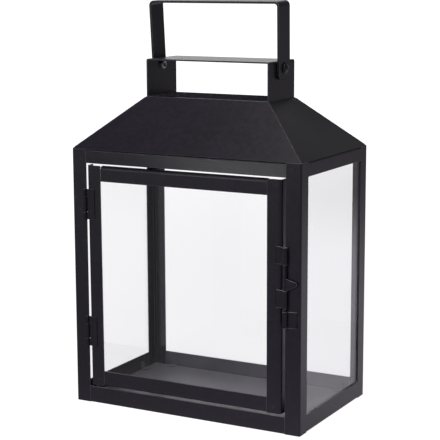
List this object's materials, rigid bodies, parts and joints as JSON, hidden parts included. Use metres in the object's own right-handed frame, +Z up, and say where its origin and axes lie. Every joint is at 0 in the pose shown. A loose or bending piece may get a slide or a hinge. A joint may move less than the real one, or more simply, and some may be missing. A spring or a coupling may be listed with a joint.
{
  "type": "candle lantern",
  "caption": "Rectangular sheet-metal candle lantern with a hipped roof, clear glass panes, a hinged glazed door with a drop bolt, and a folding strip handle.",
  "frame": {"origin": "middle of the base, on the surface the lantern stands on", "axes": "+Z up, +Y from the door to the back, +X to the right as seen from the door side"},
  "size_m": [0.2, 0.1259, 0.3216],
  "materials": {
    "black_powder_coat": "fine matte to satin powder coat",
    "clear_glass": "clear polished float glass, 2 mm",
    "bare_steel": "dull zinc-plated steel"
  },
  "bodies": {
    "frame": {"post_front_left": "black_powder_coat", "post_front_right": "black_powder_coat", "post_back_left": "black_powder_coat", "post_back_right": "black_powder_coat", "top_rail_front": "black_powder_coat", "top_rail_back": "black_powder_coat", "top_rail_left": "black_powder_coat", "top_rail_right": "black_powder_coat", "bottom_rail_front": "black_powder_coat", "bottom_rail_back": "black_powder_coat", "bottom_rail_left": "black_powder_coat", "bottom_rail_right": "black_powder_coat", "floor_plate": "black_powder_coat", "roof_panel_front": "black_powder_coat", "roof_panel_back": "black_powder_coat", "roof_panel_left": "black_powder_coat", "roof_panel_right": "black_powder_coat", "cap_bracket": "black_powder_coat", "handle_rivet_left": "bare_steel", "handle_rivet_right": "bare_steel", "glass_left": "clear_glass", "glass_right": "clear_glass", "glass_back": "clear_glass", "glass_clips": "black_powder_coat", "hinge_post_leaf_upper": "black_powder_coat", "hinge_post_leaf_lower": "black_powder_coat", "hinge_pin_upper": "bare_steel", "hinge_pin_lower": "bare_steel", "latch_keeper_post": "black_powder_coat"},
    "door": {"door_stile_left": "black_powder_coat", "door_stile_right": "black_powder_coat", "door_rail_top": "black_powder_coat", "door_rail_bottom": "black_powder_coat", "door_glass": "clear_glass", "door_glass_clips": "black_powder_coat", "hinge_door_leaf_upper": "black_powder_coat", "hinge_door_leaf_lower": "black_powder_coat", "latch_keeper_upper": "black_powder_coat", "latch_keeper_lower": "black_powder_coat"},
    "latch_bolt": {"latch_bolt": "black_powder_coat"},
    "handle": {"handle": "black_powder_coat"}
  },
  "joints": [
    {"name": "door_hinge", "type": "hinge", "parent": "frame", "child": "door", "pos_m": [-0.0882, -0.06275, 0.11], "axis": [0, 0, -1], "range_deg": [0, 170]},
    {"name": "bolt_lift", "type": "slide", "parent": "door", "child": "latch_bolt", "axis": [0, 0, 1], "range_m": [0, 0.0102]},
    {"name": "handle_pivot", "type": "hinge", "parent": "frame", "child": "handle", "pos_m": [0, 0, 0.27], "axis": [1, 0, 0], "range_deg": [-118, 112]}
  ]
}
